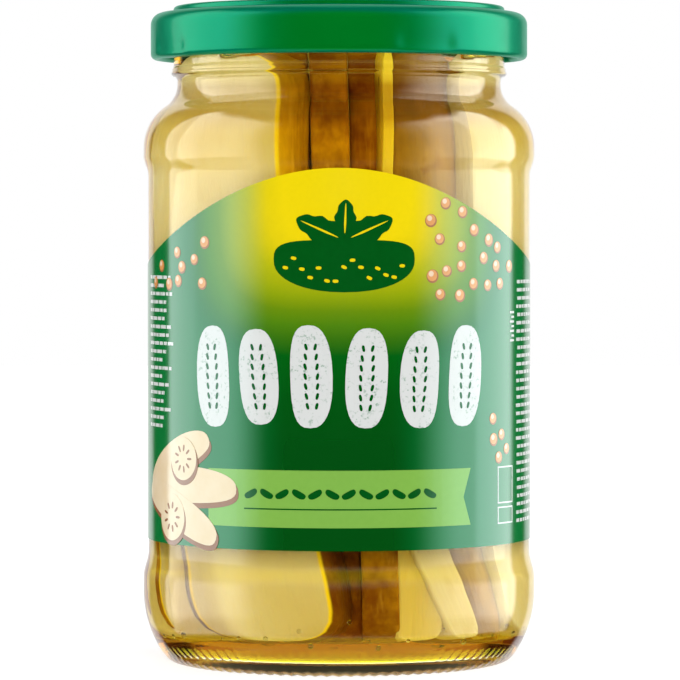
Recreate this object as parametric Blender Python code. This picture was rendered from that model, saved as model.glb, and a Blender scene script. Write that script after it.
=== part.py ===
"""A shut jar of sliced gherkins: a glass jar, a twist-off metal lid, a wrap-round paper label and the
upright slices inside. Metres, +Z up. The origin is the middle of the foot, and the label faces -Y."""

import math

import bmesh
import bpy
from mathutils import Vector

MM = 0.001
ROUND_SIDES = 64

# Glass, outside, from the foot up
FOOT_INNER_RADIUS = 27.4 * MM
FOOT_OUTER_RADIUS = 30.6 * MM
PUNT_EDGE_HEIGHT = 1.0 * MM
PUNT_HEIGHT = 2.4 * MM
FOOT_CORNER_RADIUS = 2.0 * MM
HEEL_RADIUS = 36.26 * MM
HEEL_CURVE = 20.15 * MM
HEEL_TOP = 13.0 * MM
HEEL_BAND_TOP = 16.0 * MM
PANEL_RADIUS = 35.2 * MM
PANEL_BOTTOM = 20.8 * MM
PANEL_TOP = 89.8 * MM
SHOULDER_RADIUS = 36.15 * MM
SHOULDER_BAND_BOTTOM = 93.6 * MM
SHOULDER_BAND_TOP = 95.0 * MM
SHOULDER_CURVE = 9.17 * MM
NECK_RADIUS = 29.9 * MM
NECK_CURVE = 4.9 * MM
BEAD_BOTTOM = 107.9 * MM
BEAD_NOSE = 108.6 * MM
BEAD_TOP = 110.0 * MM
BEAD_RADIUS = 31.0 * MM
FINISH_RADIUS = 30.6 * MM
FINISH_TOP = 117.4 * MM
RIM_RADIUS = 29.8 * MM
RIM_TOP = 120.2 * MM
RIM_ROUNDING = 1.0 * MM

# Glass, inside
INNER_RADIUS = 33.0 * MM
INNER_NECK_RADIUS = 27.6 * MM
FLOOR_HEIGHT = 4.4 * MM
INNER_HEEL_CURVE = 9.0 * MM
INNER_SHOULDER_CURVE = 7.0 * MM
INNER_NECK_CURVE = 6.9 * MM

# Four thread starts on the finish, rising to the right as a right-hand screw does
THREAD_STARTS = 4
THREAD_FIRST_ANGLE = math.radians(-46)
THREAD_SPAN = math.radians(78)
THREAD_LEAD = 20.0 * MM
THREAD_START_HEIGHT = 111.7 * MM
THREAD_HALF_HEIGHT = 1.15 * MM
THREAD_REACH = 1.5 * MM
THREAD_STEPS = 12

# Lid, outside
LID_RADIUS = 34.8 * MM
LID_BOTTOM = 111.2 * MM
LID_SHOULDER_RADIUS = 2.2 * MM
LID_SHOULDER_TOP = 119.8 * MM
LID_STEP_RADIUS = 30.7 * MM
LID_TOP = 121.0 * MM
LID_RING_INNER_RADIUS = 27.3 * MM
LID_PANEL_RADIUS = 25.8 * MM
LID_PANEL_HEIGHT = 119.8 * MM
BUTTON_RADIUS = 11.0 * MM
BUTTON_RIM = 1.6 * MM
BUTTON_DIP = 0.4 * MM
LID_SHEET = 0.4 * MM
CURL_RADIUS = 1.0 * MM
LUG_ANGLE = math.radians(27)
LUG_SPAN = math.radians(15)
LUG_REACH = 1.5 * MM
LUG_HEIGHT = 0.9 * MM

# Label
LABEL_RADIUS = 35.65 * MM
LABEL_THICKNESS = 0.2 * MM
LABEL_BOTTOM = 22.9 * MM
LABEL_SIDE_TOP = 73.0 * MM
LABEL_CREST_TOP = 90.8 * MM
LABEL_ARCH_HALF_WIDTH = 60.0 * MM
LABEL_SEAM_GAP = 1.2 * MM

# Gherkin slices: planks cut along the gherkin, standing on end
SLICE_THICKNESS = 6.0 * MM
SLICE_STATIONS = 10
SKIN_BEVEL = 1.4 * MM
SLICE_FOOT = 6.2 * MM
WALL_CLEARANCE = 0.35 * MM
LEAN_LOW = 15.0 * MM
LEAN_HIGH = 95.0 * MM
CORE_RADIUS = 25.2 * MM
CORE_SIDES = 24
CORE_BOTTOM = 12.0 * MM
CORE_TOP = 92.0 * MM

# Where each slice stands, near the foot and near the shoulder, because it leans as it goes up: the way
# its outer face looks (0 is the label's side, and positive turns to the right), how far that face is
# from the jar's axis and how far the slice's middle is to the side. Then its half width and the
# height of its top. Degrees and millimetres.
SLICES = {
    "left_1": (-32, -50, 29.2, 29.2, -0.6, -0.8, 12.6, 107),
    "left_2": (-32, -50, 22.8, 22.8, -11.3, -10.0, 12.7, 104),
    "left_3": (-32, -50, 16.4, 16.4, -15.4, -14.8, 12.1, 109),
    "left_4": (-32, -50, 10.0, 10.0, -19.0, -17.2, 11.2, 102),
    "left_5": (-32, -50, 3.6, 3.6, -21.8, -20.7, 8.3, 105),
    "edge_1": (90, 90, -2.6, -4.7, -7.6, -16.4, 11.4, 111),
    "edge_2": (90, 90, 3.8, 1.7, -18.4, -18.4, 12.8, 109),
    "edge_3": (90, 90, 10.2, 8.1, -17.8, -17.8, 12.8, 111),
    "right_1": (49, 34.5, 30.8, 30.8, 0.0, 0.0, 5.8, 106),
    "right_2": (30, 22, 22.4, 22.2, 7.2, 7.4, 4.8, 110),
    "right_3": (84, 70, 29.2, 29.2, 1.6, 1.6, 11.3, 108),
    "right_4": (84, 70, 22.8, 22.8, 2.6, 5.0, 8.8, 104),
    "right_5": (84, 70, 16.4, 16.4, 1.2, 4.4, 7.2, 110),
    "back_1": (184, 168, 29.2, 29.2, 0.0, 0.0, 12.6, 108),
    "back_2": (184, 168, 22.8, 22.8, 4.0, 4.6, 12.2, 105),
    "back_3": (184, 168, 16.4, 16.4, 0.4, 0.8, 9.7, 110),
    "back_4": (184, 168, 10.0, 10.0, -5.6, -3.4, 6.6, 101),
    "back_5": (132, 116, 29.6, 29.6, 1.0, 1.4, 6.0, 106),
    "back_6": (132, 116, 23.2, 23.2, 4.0, 4.0, 4.8, 109),
}


def arc(centre, radius, start, end, steps):
    """Points (radius, height) along an arc, from one angle in degrees to another, both ends included."""
    points = []
    for step in range(steps + 1):
        angle = math.radians(start + (end - start) * step / steps)
        points.append((centre[0] + radius * math.cos(angle), centre[1] + radius * math.sin(angle)))
    return points


def ease(low, high, steps):
    """Points on a smooth S from one (radius, height) to another, as glass steps between two radii."""
    points = []
    for step in range(steps + 1):
        share = step / steps
        blend = share * share * (3 - 2 * share)
        points.append((low[0] + (high[0] - low[0]) * blend, low[1] + (high[1] - low[1]) * share))
    return points


def shoulder_to_neck(radius, curve, height, neck_radius, neck_curve, steps):
    """A convex shoulder arc that runs, without a corner, into the hollow arc below a straight neck."""
    shoulder_x = radius - curve
    neck_x = neck_radius + neck_curve
    rise = math.sqrt((curve + neck_curve) ** 2 - (neck_x - shoulder_x) ** 2)
    meeting = math.degrees(math.atan2(rise, neck_x - shoulder_x))
    convex = arc((shoulder_x, height), curve, 0, meeting, steps)
    hollow = arc((neck_x, height + rise), neck_curve, 180 + meeting, 180, steps)
    return convex + hollow[1:]


def jar_outside():
    """The outer side of the glass, from the middle of the foot to the top of the rim."""
    foot_edge = HEEL_RADIUS - HEEL_CURVE
    drop = math.degrees(math.asin((HEEL_TOP - 1.2 * MM) / HEEL_CURVE))
    heel = arc((foot_edge, HEEL_TOP), HEEL_CURVE, -drop, 0, 7)
    corner_x = heel[0][0] - FOOT_CORNER_RADIUS
    corner = arc((corner_x + 0.35 * MM, FOOT_CORNER_RADIUS), FOOT_CORNER_RADIUS, -90, -30, 3)
    points = [(0, PUNT_HEIGHT), (0.55 * FOOT_INNER_RADIUS, 0.8 * PUNT_HEIGHT)]
    points += [(FOOT_INNER_RADIUS - 1.2 * MM, PUNT_EDGE_HEIGHT), (FOOT_INNER_RADIUS, 0)]
    points += corner[:-1] + heel
    points += ease((HEEL_RADIUS, HEEL_BAND_TOP), (PANEL_RADIUS, PANEL_BOTTOM), 4)
    points += ease((PANEL_RADIUS, PANEL_TOP), (SHOULDER_RADIUS, SHOULDER_BAND_BOTTOM), 4)
    points += shoulder_to_neck(SHOULDER_RADIUS, SHOULDER_CURVE, SHOULDER_BAND_TOP, NECK_RADIUS, NECK_CURVE, 5)
    points += [(NECK_RADIUS, BEAD_BOTTOM), (BEAD_RADIUS - 0.3 * MM, BEAD_NOSE - 0.35 * MM)]
    points += [(BEAD_RADIUS, BEAD_NOSE), (FINISH_RADIUS + 0.1 * MM, BEAD_TOP), (FINISH_RADIUS, FINISH_TOP)]
    points += [(RIM_RADIUS, FINISH_TOP + 0.8 * MM)]
    points += arc((RIM_RADIUS - RIM_ROUNDING, RIM_TOP - RIM_ROUNDING), RIM_ROUNDING, 0, 90, 3)
    return points


def jar_inside():
    """The inner side of the glass, from the top of the rim down to the middle of the floor."""
    bore_edge = INNER_NECK_RADIUS + 0.8 * MM
    points = arc((bore_edge, RIM_TOP - 0.8 * MM), 0.8 * MM, 90, 180, 2)
    wall = shoulder_to_neck(
        INNER_RADIUS, INNER_SHOULDER_CURVE, SHOULDER_BAND_TOP, INNER_NECK_RADIUS, INNER_NECK_CURVE, 4
    )
    points += reversed(wall)
    heel_centre = (INNER_RADIUS - INNER_HEEL_CURVE, FLOOR_HEIGHT + INNER_HEEL_CURVE)
    points += arc(heel_centre, INNER_HEEL_CURVE, 0, -90, 5)
    points += [(0, FLOOR_HEIGHT + 0.5 * MM)]
    return points


def inner_radius(height):
    """How far the inside of the glass is from the axis at a height."""
    heel_top = FLOOR_HEIGHT + INNER_HEEL_CURVE
    if height < heel_top:
        below = min(heel_top - height, INNER_HEEL_CURVE)
        return INNER_RADIUS - INNER_HEEL_CURVE + math.sqrt(INNER_HEEL_CURVE**2 - below**2)
    wall = shoulder_to_neck(
        INNER_RADIUS, INNER_SHOULDER_CURVE, SHOULDER_BAND_TOP, INNER_NECK_RADIUS, INNER_NECK_CURVE, 12
    )
    if height <= wall[0][1]:
        return INNER_RADIUS
    for below, above in zip(wall, wall[1:]):
        if height <= above[1]:
            share = (height - below[1]) / (above[1] - below[1])
            return below[0] + (above[0] - below[0]) * share
    return INNER_NECK_RADIUS


def cleared_scene():
    for obj in list(bpy.data.objects):
        bpy.data.objects.remove(obj, do_unlink=True)


def finish_of(name, colour, roughness, metallic=0.0, transmission=0.0):
    material = bpy.data.materials.new(name)
    material.use_nodes = True
    shader = material.node_tree.nodes["Principled BSDF"]
    shader.inputs["Base Color"].default_value = (*colour, 1.0)
    shader.inputs["Roughness"].default_value = roughness
    shader.inputs["Metallic"].default_value = metallic
    shader.inputs["Transmission Weight"].default_value = transmission
    return material


def object_from(bm, name, material, collection=None):
    mesh = bpy.data.meshes.new(name)
    bm.to_mesh(mesh)
    bm.free()
    obj = bpy.data.objects.new(name, mesh)
    (collection or bpy.context.scene.collection).objects.link(obj)
    if material:
        mesh.materials.append(material)
    mesh.shade_smooth()
    mesh.set_sharp_from_angle(angle=math.radians(35))
    return obj


def turned(profile, name, material):
    """A round solid or surface, made by spinning a profile of (radius, height) points about the axis."""
    bm = bmesh.new()
    corners = [bm.verts.new((radius, 0, height)) for radius, height in profile]
    edges = [bm.edges.new(pair) for pair in zip(corners, corners[1:])]
    bmesh.ops.spin(
        bm,
        geom=corners + edges,
        axis=(0, 0, 1),
        cent=(0, 0, 0),
        angle=math.tau,
        steps=ROUND_SIDES,
        use_merge=True,
    )
    bmesh.ops.remove_doubles(bm, verts=bm.verts[:], dist=0.001 * MM)
    bmesh.ops.recalc_face_normals(bm, faces=bm.faces[:])
    return object_from(bm, name, material)


def lofted(rings, name, material, collection=None):
    """A closed solid through rings of points with equal counts, capped at both ends."""
    bm = bmesh.new()
    made = [[bm.verts.new(point) for point in ring] for ring in rings]
    for lower, upper in zip(made, made[1:]):
        for i in range(len(lower)):
            j = (i + 1) % len(lower)
            bm.faces.new((lower[i], lower[j], upper[j], upper[i]))
    bm.faces.new(made[0])
    bm.faces.new(made[-1])
    bmesh.ops.recalc_face_normals(bm, faces=bm.faces[:])
    return object_from(bm, name, material, collection)


def joined(obj, parts, solver="EXACT"):
    """Joins the parts' objects to obj with one Boolean union, and removes them."""
    union = obj.modifiers.new("join", "BOOLEAN")
    union.operation = "UNION"
    union.solver = solver
    union.operand_type = "COLLECTION"
    union.collection = parts
    graph = bpy.context.evaluated_depsgraph_get()
    mesh = bpy.data.meshes.new_from_object(obj.evaluated_get(graph))
    obj.modifiers.clear()
    obj.data = mesh
    for part in list(parts.objects):
        bpy.data.objects.remove(part, do_unlink=True)
    bpy.data.collections.remove(parts)
    mesh.shade_smooth()
    mesh.set_sharp_from_angle(angle=math.radians(35))


def new_group(name):
    group = bpy.data.collections.new(name)
    bpy.context.scene.collection.children.link(group)
    return group


def facing(angle):
    """The level direction at an angle from the label's middle, positive to the right."""
    return Vector((math.sin(angle), -math.cos(angle), 0))


def thread_ridge(first_angle, name, group):
    """One thread start: a rounded ridge that climbs the finish and fades out at both ends."""
    rings = []
    for step in range(THREAD_STEPS + 1):
        share = step / THREAD_STEPS
        fade = min(1.0, 5 * min(share, 1 - share) + 0.3)
        angle = first_angle + THREAD_SPAN * share
        height = THREAD_START_HEIGHT + THREAD_LEAD * THREAD_SPAN * share / math.tau
        outward = facing(angle)
        ring = []
        for across, reach in ((-1, -0.4), (-0.75, 0.45), (0, 1), (0.75, 0.45), (1, -0.4)):
            radius = FINISH_RADIUS + reach * THREAD_REACH * (fade if reach > 0 else 1)
            point = outward * radius
            point.z = height + across * THREAD_HALF_HEIGHT * (0.5 + 0.5 * fade)
            ring.append(point)
        rings.append(ring)
    return lofted(rings, name, None, group)


def make_jar():
    glass = finish_of("clear_glass", (0.93, 0.97, 0.94), 0.02, transmission=1.0)
    jar = turned(jar_outside() + jar_inside(), "glass_jar", glass)
    threads = new_group("threads")
    for start in range(THREAD_STARTS):
        thread_ridge(THREAD_FIRST_ANGLE + math.tau * start / THREAD_STARTS, f"thread_{start}", threads)
    joined(jar, threads)
    return jar


def lid_outside():
    """The lid's outer side, from the middle of the button to the inner end of the curl."""
    shoulder_x = LID_RADIUS - LID_SHOULDER_RADIUS
    curl_x = LID_RADIUS - CURL_RADIUS
    points = [(0, LID_PANEL_HEIGHT - BUTTON_DIP), (BUTTON_RADIUS - BUTTON_RIM, LID_PANEL_HEIGHT - BUTTON_DIP)]
    points += [(BUTTON_RADIUS, LID_PANEL_HEIGHT), (LID_PANEL_RADIUS, LID_PANEL_HEIGHT)]
    points += [(LID_RING_INNER_RADIUS - 0.4 * MM, LID_TOP - 0.25 * MM), (LID_RING_INNER_RADIUS, LID_TOP)]
    points += arc((LID_STEP_RADIUS - 0.6 * MM, LID_TOP - 0.6 * MM), 0.6 * MM, 90, 0, 2)
    points += [(LID_STEP_RADIUS, LID_SHOULDER_TOP + 0.1 * MM), (LID_STEP_RADIUS + 0.5 * MM, LID_SHOULDER_TOP)]
    points += arc((shoulder_x, LID_SHOULDER_TOP - LID_SHOULDER_RADIUS), LID_SHOULDER_RADIUS, 90, 0, 4)
    points += arc((curl_x, LID_BOTTOM + CURL_RADIUS), CURL_RADIUS, 0, -180, 6)
    return points


def make_lid():
    paint = finish_of("green_lacquer", (0.0, 0.3, 0.12), 0.25, metallic=0.1)
    lid = turned(lid_outside(), "lid", paint)
    # The profile is one open sheet, so its outward side is set before it gets its thickness.
    if max(lid.data.polygons, key=lambda face: face.center.x).normal.x < 0:
        lid.data.flip_normals()
    sheet = lid.modifiers.new("sheet", "SOLIDIFY")
    sheet.thickness = LID_SHEET
    sheet.offset = -1
    lugs = new_group("lugs")
    lug_outer = LID_RADIUS - CURL_RADIUS - 0.2 * MM
    lug_inner = lug_outer - LUG_REACH
    lug_bottom = LID_BOTTOM + 0.15 * MM
    for start in range(THREAD_STARTS):
        middle = LUG_ANGLE + math.tau * start / THREAD_STARTS
        rings = []
        for step in range(-2, 3):
            outward = facing(middle + LUG_SPAN * step / 4)
            inner = lug_inner if abs(step) < 2 else lug_inner + 0.6 * MM
            corners = ((inner, 0.3 * MM), (lug_outer, 0), (lug_outer, LUG_HEIGHT), (inner, LUG_HEIGHT))
            rings.append([outward * radius + Vector((0, 0, lug_bottom + up)) for radius, up in corners])
        lofted(rings, f"lug_{start}", None, lugs)
    joined(lid, lugs)
    return lid


def label_top(along):
    """The height of the label's top edge at a distance along it from the middle of its front."""
    if abs(along) >= LABEL_ARCH_HALF_WIDTH:
        return LABEL_SIDE_TOP
    swell = 0.5 + 0.5 * math.cos(math.pi * along / LABEL_ARCH_HALF_WIDTH)
    return LABEL_SIDE_TOP + (LABEL_CREST_TOP - LABEL_SIDE_TOP) * swell


def make_label():
    """One strip wrapped nearly all the way round, with the arch on its front and its ends at the back."""
    paper = finish_of("printed_paper", (0.02, 0.2, 0.06), 0.4)
    half_turn = math.pi - 0.5 * LABEL_SEAM_GAP / LABEL_RADIUS
    bm = bmesh.new()
    columns = []
    for column in range(ROUND_SIDES + 1):
        angle = -half_turn + 2 * half_turn * column / ROUND_SIDES
        outward = facing(angle) * LABEL_RADIUS
        low = Vector((outward.x, outward.y, LABEL_BOTTOM))
        high = Vector((outward.x, outward.y, label_top(angle * LABEL_RADIUS)))
        columns.append((bm.verts.new(low), bm.verts.new(high)))
    for left, right in zip(columns, columns[1:]):
        bm.faces.new((left[0], right[0], right[1], left[1]))
    label = object_from(bm, "label", paper)
    sheet = label.modifiers.new("paper", "SOLIDIFY")
    sheet.thickness = LABEL_THICKNESS
    sheet.offset = -1
    return label


def drawn_in(point):
    """A point of the straight bundle, drawn in where the jar narrows at the heel and the neck."""
    share = (inner_radius(point.z) - WALL_CLEARANCE) / (INNER_RADIUS - WALL_CLEARANCE)
    return Vector((share * point.x, share * point.y, point.z))


def slice_width_share(share):
    """How wide a slice is along its length, as a share of its widest: blunt rounded ends."""
    from_middle = abs(2 * share - 1)
    return max(0.0, 1 - from_middle**5) ** 0.5


def gherkin_slice(name, row, group):
    """One plank: two flat cut faces, with the skin as a bevelled edge down both sides."""
    turn_low, turn_high, out_low, out_high, aside_low, aside_high, half_width, top = row
    half_thickness = SLICE_THICKNESS / 2
    rings = []
    for station in range(SLICE_STATIONS + 1):
        share = 0.5 - 0.5 * math.cos(math.pi * (0.03 + 0.94 * station / SLICE_STATIONS))
        height = SLICE_FOOT + (top * MM - SLICE_FOOT) * share
        lean = (height - LEAN_LOW) / (LEAN_HIGH - LEAN_LOW)
        outward = facing(math.radians(turn_low + (turn_high - turn_low) * lean))
        sideways = Vector((-outward.y, outward.x, 0))
        face = (out_low + (out_high - out_low) * lean) * MM
        aside = (aside_low + (aside_high - aside_low) * lean) * MM
        middle = outward * (face - half_thickness) + sideways * aside
        half = half_width * MM * slice_width_share(share)
        face_half = max(half - SKIN_BEVEL, 0.3 * half)
        ring = []
        for across, depth in (
            (-half, 0),
            (-face_half, half_thickness),
            (face_half, half_thickness),
            (half, 0),
            (face_half, -half_thickness),
            (-face_half, -half_thickness),
        ):
            point = middle + sideways * across + outward * depth
            point.z = height
            ring.append(drawn_in(point))
        rings.append(ring)
    return lofted(rings, name, None, group)


def make_slices():
    """The heap: every slice joined to one hidden core, as a single solid inside the shut jar."""
    flesh = finish_of("gherkin_flesh", (0.75, 0.6, 0.2), 0.35)
    core_rings = []
    for height in (CORE_BOTTOM, CORE_TOP):
        ring = []
        for side in range(CORE_SIDES):
            point = facing(math.tau * side / CORE_SIDES) * CORE_RADIUS
            point.z = height
            ring.append(point)
        core_rings.append(ring)
    heap = lofted(core_rings, "gherkin_slices", flesh)
    group = new_group("slices")
    for name, row in SLICES.items():
        gherkin_slice(name, row, group)
    joined(heap, group, "MANIFOLD")
    return heap


def main():
    cleared_scene()
    make_jar()
    make_lid()
    make_label()
    make_slices()


main()
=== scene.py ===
# %% [markdown]
# # A shut jar of gherkin slices
#
# This lesson dresses the solid model of a preserve jar until it looks like the real one: clear glass,
# amber brine, upright gherkin slices, a printed paper label and a lacquered twist-off lid.
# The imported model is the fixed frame. Everything here is built around it, in the same metres.

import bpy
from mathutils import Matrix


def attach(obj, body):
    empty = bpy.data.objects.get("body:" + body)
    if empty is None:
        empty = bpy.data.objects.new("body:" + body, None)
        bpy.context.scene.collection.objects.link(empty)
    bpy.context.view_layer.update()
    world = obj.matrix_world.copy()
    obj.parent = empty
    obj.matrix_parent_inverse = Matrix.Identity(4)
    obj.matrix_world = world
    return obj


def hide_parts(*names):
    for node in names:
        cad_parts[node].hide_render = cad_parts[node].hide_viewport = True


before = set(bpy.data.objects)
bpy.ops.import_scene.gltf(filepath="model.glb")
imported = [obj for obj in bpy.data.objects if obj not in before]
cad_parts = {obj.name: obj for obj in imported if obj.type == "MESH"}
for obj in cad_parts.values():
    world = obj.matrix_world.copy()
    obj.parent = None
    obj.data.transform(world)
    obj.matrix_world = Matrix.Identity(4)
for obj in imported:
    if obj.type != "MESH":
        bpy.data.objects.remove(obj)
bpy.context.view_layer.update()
print("solids:", sorted(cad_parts))

# %% Blender's modules and the unit of this lesson
import math
import random

import bmesh
import bpy
from mathutils import Matrix, Vector, noise

MM = 0.001

# %% [markdown]
# ## The camera
#
# The photograph is taken from far away with a long lens, so the jar's sides look almost parallel. The
# distance sets how much of the lid's underside is seen, and the lens then sets the size in the frame.

# %% Camera
FRAME_PIXELS = 680
FOCAL_PIXELS = 4132
SENSOR_WIDTH = 36
CAMERA_PLACE = (0.19 * MM, -766 * MM, 80.7 * MM)
CAMERA_TIP = math.radians(1.594)


def put_in_scene(name, data):
    """Make an object from a lens, a lamp or a mesh and put it into the scene."""
    made = bpy.data.objects.new(name, data)
    bpy.context.scene.collection.objects.link(made)
    return made


lens = bpy.data.cameras.new("camera")
lens.sensor_width = SENSOR_WIDTH
lens.lens = SENSOR_WIDTH * FOCAL_PIXELS / FRAME_PIXELS
camera = put_in_scene("camera", lens)
camera.location = CAMERA_PLACE
camera.rotation_euler = (math.radians(90) - CAMERA_TIP, 0, 0)
bpy.context.scene.camera = camera
print("lens, mm:", round(lens.lens, 1))

# %% [markdown]
# ## Making materials from nodes
#
# Every finish below is a small node tree, and a few helpers keep them short. The first adds a node
# with its settings and wires it up: a socket given as a value is linked, anything else is set.

# %% Node helpers
def node(tree, kind, inputs=None, **settings):
    """Add a node, set its properties, then set or link its inputs."""
    made = tree.nodes.new("ShaderNode" + kind)
    for key, value in settings.items():
        setattr(made, key, value)
    for socket, value in (inputs or {}).items():
        if isinstance(value, bpy.types.NodeSocket):
            tree.links.new(value, made.inputs[socket])
        else:
            made.inputs[socket].default_value = value
    return made


def math_node(tree, operation, first, second=0.0):
    return node(tree, "Math", {0: first, 1: second}, operation=operation).outputs[0]


def product(tree, first, second):
    return math_node(tree, "MULTIPLY", first, second)


def smooth_step(tree, value, low, high, to_low=0.0, to_high=1.0):
    """A value's smooth way from to_low to to_high as it goes from low to high."""
    inputs = {"Value": value, "From Min": low, "From Max": high, "To Min": to_low, "To Max": to_high}
    return node(tree, "MapRange", inputs, interpolation_type="SMOOTHSTEP").outputs["Result"]


def mixed(tree, factor, first, second, blend="MIX"):
    """The colour between two colours."""
    mix = node(tree, "Mix", {0: factor, 6: first, 7: second}, data_type="RGBA", blend_type=blend)
    return mix.outputs[2]


def new_material(name, **principled):
    """A material, its tree and its Principled shader with the named sockets set."""
    material = bpy.data.materials.new(name)
    material.use_nodes = True
    tree = material.node_tree
    shader = tree.nodes["Principled BSDF"]
    for socket, value in principled.items():
        shader.inputs[socket.replace("_", " ")].default_value = value
    return material, tree, shader


def shade(tree, shader, **links):
    """Link values to the Principled shader's sockets."""
    for socket, value in links.items():
        tree.links.new(value, shader.inputs[socket.replace("_", " ")])


def noise_of(tree, coordinates, scale, detail=3.0, roughness=0.5):
    inputs = {"Vector": coordinates, "Scale": scale, "Detail": detail, "Roughness": roughness}
    return node(tree, "TexNoise", inputs).outputs["Fac"]


def stretched(tree, coordinates, scale):
    return node(tree, "Mapping", {"Vector": coordinates, "Scale": scale}).outputs[0]


def attribute_of(tree, name, output="Fac"):
    """What the points of the mesh say under a name."""
    return node(tree, "Attribute", attribute_name=name).outputs[output]


def bumped(tree, shader, height, strength, distance):
    """Turn a height into a fine relief of the surface."""
    bump = node(tree, "Bump", {"Height": height, "Strength": strength, "Distance": distance})
    tree.links.new(bump.outputs["Normal"], shader.inputs["Normal"])


def clear_to_light(tree, shader, tint):
    """Let light on its way to the things inside pass straight through, which keeps them bright."""
    path = node(tree, "LightPath")
    factor = math_node(tree, "MAXIMUM", path.outputs["Is Shadow Ray"], path.outputs["Is Diffuse Ray"])
    passing = node(tree, "BsdfTransparent", {"Color": (*tint, 1)})
    mix = node(tree, "MixShader", {0: factor, 1: shader.outputs[0], 2: passing.outputs[0]})
    tree.links.new(mix.outputs[0], tree.nodes["Material Output"].inputs["Surface"])


# %% [markdown]
# ## The studio
#
# A glossy jar is lit by what it mirrors. Two tall soft panels, one on each side, run down the lid, the
# label and the glass. Each glows more towards its crisp back edge. Between them and the camera the room
# is dark, and behind the jar hangs a white backdrop. All this is painted on the sky, by direction,
# because soft edges are easier to paint than to build from lamps. The camera itself sees plain white.
#
# The foot shows the table under it twice: golden through glass and brine, and pale in the outside of
# the heel. The sky has a low glow for each, met only by rays that have passed through glass, or that
# are mirrored steeply down.

# %% Studio sky
WHITE = (1, 1, 1, 1)
PANELS = [
    ("left", (42, 72, 121, 125), 2.8),
    ("left", (94, 97, 121, 124), 0.4),
    ("right", (44, 80, 124, 130), 2.8),
    ("right", (88, 92, 122, 128), 1.3),
]
PANEL_FOOT, PANEL_HEAD = (-0.36, -0.20), (0.70, 0.80)
BACKDROP_TURNS = (math.radians(146), math.radians(154))
BACKDROP_GLOW, ROOM_GLOW = 1.0, 0.012
TABLE_GLOW, TABLE_RANGE, TABLE_COLOUR = 1.75, (-0.42, -0.18), (1.0, 0.92, 0.04, 1)
MIRRORED_GLOW, MIRRORED_RANGE, MIRRORED_COLOUR = 0.95, (-0.75, -0.5), (1.0, 0.88, 0.55, 1)

world = bpy.data.worlds.new("studio")
world.use_nodes = True
bpy.context.scene.world = world
sky = world.node_tree
direction = node(sky, "TexCoord").outputs["Generated"]
axes = node(sky, "SeparateXYZ", {0: direction}).outputs
turn = math_node(sky, "ARCTAN2", axes["X"], product(sky, axes["Y"], -1.0))
turns = {"left": product(sky, turn, -1.0), "right": turn}
above_foot = smooth_step(sky, axes["Z"], *PANEL_FOOT)
panel_height = product(sky, above_foot, smooth_step(sky, axes["Z"], *PANEL_HEAD, 1.0, 0.0))


def panel(hand, edges, glow):
    """A panel's glow. It rises between the first two turns and falls between the last two, in degrees."""
    starts, full, fades, ends = [math.radians(edge) for edge in edges]
    rise = smooth_step(sky, turns[hand], starts, full)
    fall = smooth_step(sky, turns[hand], fades, ends, glow, 0.0)
    return product(sky, product(sky, rise, fall), panel_height)


path = node(sky, "LightPath").outputs
through = math_node(sky, "GREATER_THAN", path["Transmission Depth"], 0.5)
through = product(sky, through, math_node(sky, "SUBTRACT", 1.0, path["Is Diffuse Ray"]))
outside = product(sky, path["Is Glossy Ray"], math_node(sky, "SUBTRACT", 1.0, through))
table = product(sky, through, smooth_step(sky, axes["Z"], *TABLE_RANGE, 1.0, 0.0))
mirrored = product(sky, outside, smooth_step(sky, axes["Z"], *MIRRORED_RANGE, 1.0, 0.0))
backdrop = smooth_step(sky, math_node(sky, "ABSOLUTE", turn), *BACKDROP_TURNS, ROOM_GLOW, BACKDROP_GLOW)
glows = [panel(*row) for row in PANELS]
glows += [backdrop, product(sky, table, TABLE_GLOW), product(sky, mirrored, MIRRORED_GLOW)]
glow = glows[0]
for other in glows[1:]:
    glow = math_node(sky, "ADD", glow, other)
tint = mixed(sky, math_node(sky, "MAXIMUM", table, mirrored), WHITE, TABLE_COLOUR)
tint = mixed(sky, mirrored, tint, MIRRORED_COLOUR)
studio = node(sky, "Background", {"Color": tint, "Strength": glow}).outputs[0]
paper_white = node(sky, "Background", {"Color": WHITE, "Strength": 1.0}).outputs[0]
sky_mix = node(sky, "MixShader", {0: path["Is Camera Ray"], 1: studio, 2: paper_white})
sky.links.new(sky_mix.outputs[0], sky.nodes["World Output"].inputs["Surface"])
bpy.context.scene.view_settings.view_transform = "Standard"
print("glows in the sky:", len(glows))

# %% [markdown]
# A large soft lamp above the camera fills the front. It is left out of reflections, so that the middle
# of the jar keeps its deep colours.

# %% Fill lamp
FILL_STRENGTH = 2.4
FILL_SPREAD = math.radians(50)
FILL_TIP, FILL_TURN = math.radians(62), math.radians(4)

fill_lamp = bpy.data.lights.new("fill", "SUN")
fill_lamp.energy = FILL_STRENGTH
fill_lamp.angle = FILL_SPREAD
fill = put_in_scene("fill", fill_lamp)
fill.rotation_euler = (FILL_TIP, 0, FILL_TURN)
fill.visible_glossy = False
fill.visible_transmission = False

# %% [markdown]
# The jar stands on a white light table, so there is hardly a shadow. Reflections and the view through
# the glass leave the table out and take the sky's colours, because it would lay a haze on the glass.

# %% Floor
FLOOR_RADIUS = 1600 * MM
FLOOR_DROP = -0.02 * MM


def built(bm, name, material):
    """Turn a bmesh into an object of the scene."""
    mesh = bpy.data.meshes.new(name)
    bm.to_mesh(mesh)
    bm.free()
    mesh.materials.append(material)
    return put_in_scene(name, mesh)


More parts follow.
